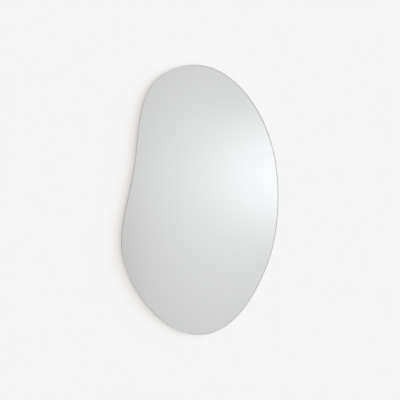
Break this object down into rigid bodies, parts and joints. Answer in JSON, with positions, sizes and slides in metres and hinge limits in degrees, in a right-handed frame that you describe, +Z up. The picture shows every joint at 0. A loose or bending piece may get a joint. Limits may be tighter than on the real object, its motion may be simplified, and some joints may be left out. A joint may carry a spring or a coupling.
{
  "type": "wall mirror",
  "caption": "Frameless wall mirror with a free pebble outline: bevelled glass on a set-back board, with swinging D-ring hangers and soft wall bumpers behind.",
  "frame": {"origin": "on the wall, behind the middle of the glass outline", "axes": "+X to the right as seen from the front, +Y into the wall, +Z up; the reflecting face looks along -Y"},
  "size_m": [0.6995, 0.0268, 1.0004],
  "materials": {
    "glass": "5 mm float glass, edge ground flat and polished",
    "silvering": "silver seen through the glass, grey backing paint behind",
    "board": "raw fibreboard with a lacquered black-brown edge",
    "foam_tape": "white closed-cell foam",
    "adhesive": "cured mirror adhesive",
    "bumper": "soft black foam rubber",
    "strap_steel": "bright zinc plate",
    "ring_steel": "bright zinc plate",
    "screw_steel": "zinc plate"
  },
  "bodies": {
    "panel": {"mirror_glass": "glass", "silver_coating": "silvering", "backing_board": "board", "mounting_tape": "foam_tape", "adhesive_beads": "adhesive", "wall_bumper_top_left": "bumper", "wall_bumper_top_right": "bumper", "wall_bumper_middle_left": "bumper", "wall_bumper_middle_right": "bumper", "wall_bumper_bottom_left": "bumper", "wall_bumper_bottom_right": "bumper", "hanger_strap_top_left": "strap_steel", "hanger_screws_top_left": "screw_steel", "hanger_strap_top_right": "strap_steel", "hanger_screws_top_right": "screw_steel", "hanger_strap_side_upper": "strap_steel", "hanger_screws_side_upper": "screw_steel", "hanger_strap_side_lower": "strap_steel", "hanger_screws_side_lower": "screw_steel"},
    "ring_top_left": {"hanger_ring_top_left": "ring_steel"},
    "ring_top_right": {"hanger_ring_top_right": "ring_steel"},
    "ring_side_upper": {"hanger_ring_side_upper": "ring_steel"},
    "ring_side_lower": {"hanger_ring_side_lower": "ring_steel"}
  },
  "joints": [
    {"name": "ring_swing_top_left", "type": "hinge", "parent": "panel", "child": "ring_top_left", "pos_m": [-0.16, -0.00545, 0.3], "axis": [1, 0, 0], "range_deg": [0, 175]},
    {"name": "ring_swing_top_right", "type": "hinge", "parent": "panel", "child": "ring_top_right", "pos_m": [0.16, -0.00545, 0.3], "axis": [1, 0, 0], "range_deg": [0, 175]},
    {"name": "ring_swing_side_upper", "type": "hinge", "parent": "panel", "child": "ring_side_upper", "pos_m": [0.245, -0.00545, 0.158], "axis": [0, 0, -1], "range_deg": [0, 175]},
    {"name": "ring_swing_side_lower", "type": "hinge", "parent": "panel", "child": "ring_side_lower", "pos_m": [0.245, -0.00545, -0.162], "axis": [0, 0, -1], "range_deg": [0, 175]}
  ]
}
